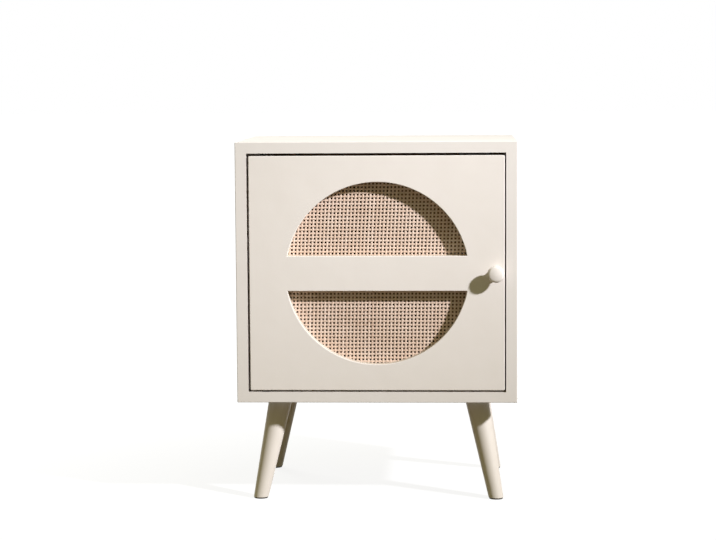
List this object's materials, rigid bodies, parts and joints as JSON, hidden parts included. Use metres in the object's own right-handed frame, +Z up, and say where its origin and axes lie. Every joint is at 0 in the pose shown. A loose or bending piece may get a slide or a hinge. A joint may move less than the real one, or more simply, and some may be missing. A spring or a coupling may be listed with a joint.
{
  "type": "storage side table with door",
  "caption": "Box side table with a side-hung door whose two circle-segment openings are backed by woven cane, a round knob and splayed tapered round legs.",
  "frame": {"origin": "on the floor, under the centre of the bounding box with the door shut", "axes": "+X to the right as seen from the front, +Y from the door to the back panel, +Z up"},
  "size_m": [0.4, 0.32, 0.516],
  "materials": {
    "cream_paint": "semi-matte cream lacquer over fibreboard and turned wood",
    "cane": "natural woven cane strips, satin",
    "hardboard": "bare brown hardboard",
    "bare_wood": "raw beech",
    "zinc_steel": "bright zinc-plated steel",
    "die_cast_zinc": "die-cast zinc, satin",
    "black_steel": "blackened steel, lightly oiled",
    "dark_plastic": "moulded dark brown plastic",
    "ferrite": "dark ferrite magnet",
    "dark_glide": "dark rubber glide"
  },
  "bodies": {
    "cabinet": {"top_panel": "cream_paint", "bottom_panel": "cream_paint", "side_panel_left": "cream_paint", "side_panel_right": "cream_paint", "back_panel": "hardboard", "shelf": "cream_paint", "shelf_pins": "zinc_steel", "cam_locks": "die_cast_zinc", "cam_bolts": "zinc_steel", "dowels": "bare_wood", "leg_front_left": "cream_paint", "leg_front_right": "cream_paint", "leg_rear_left": "cream_paint", "leg_rear_right": "cream_paint", "leg_plate_front_left": "zinc_steel", "leg_plate_front_right": "zinc_steel", "leg_plate_rear_left": "zinc_steel", "leg_plate_rear_right": "zinc_steel", "leg_plate_screws": "zinc_steel", "hanger_bolts": "zinc_steel", "glide_pads": "dark_glide", "hinge_pins": "black_steel", "hinge_washer": "dark_plastic", "catch_housing": "dark_plastic", "catch_magnet": "ferrite", "catch_poles": "zinc_steel", "catch_screws": "zinc_steel"},
    "door": {"door_panel": "cream_paint", "cane_webbing": "cane", "webbing_retainer": "cream_paint", "retainer_screws": "zinc_steel", "door_knob": "cream_paint", "knob_washer": "zinc_steel", "knob_screw": "zinc_steel", "hinge_bushes": "dark_plastic", "strike_plate": "zinc_steel", "strike_screw": "zinc_steel"}
  },
  "joints": [
    {"name": "door_swing", "type": "hinge", "parent": "cabinet", "child": "door", "pos_m": [-0.158, -0.1315, 0.159], "axis": [0, 0, -1], "range_deg": [0, 140]}
  ]
}
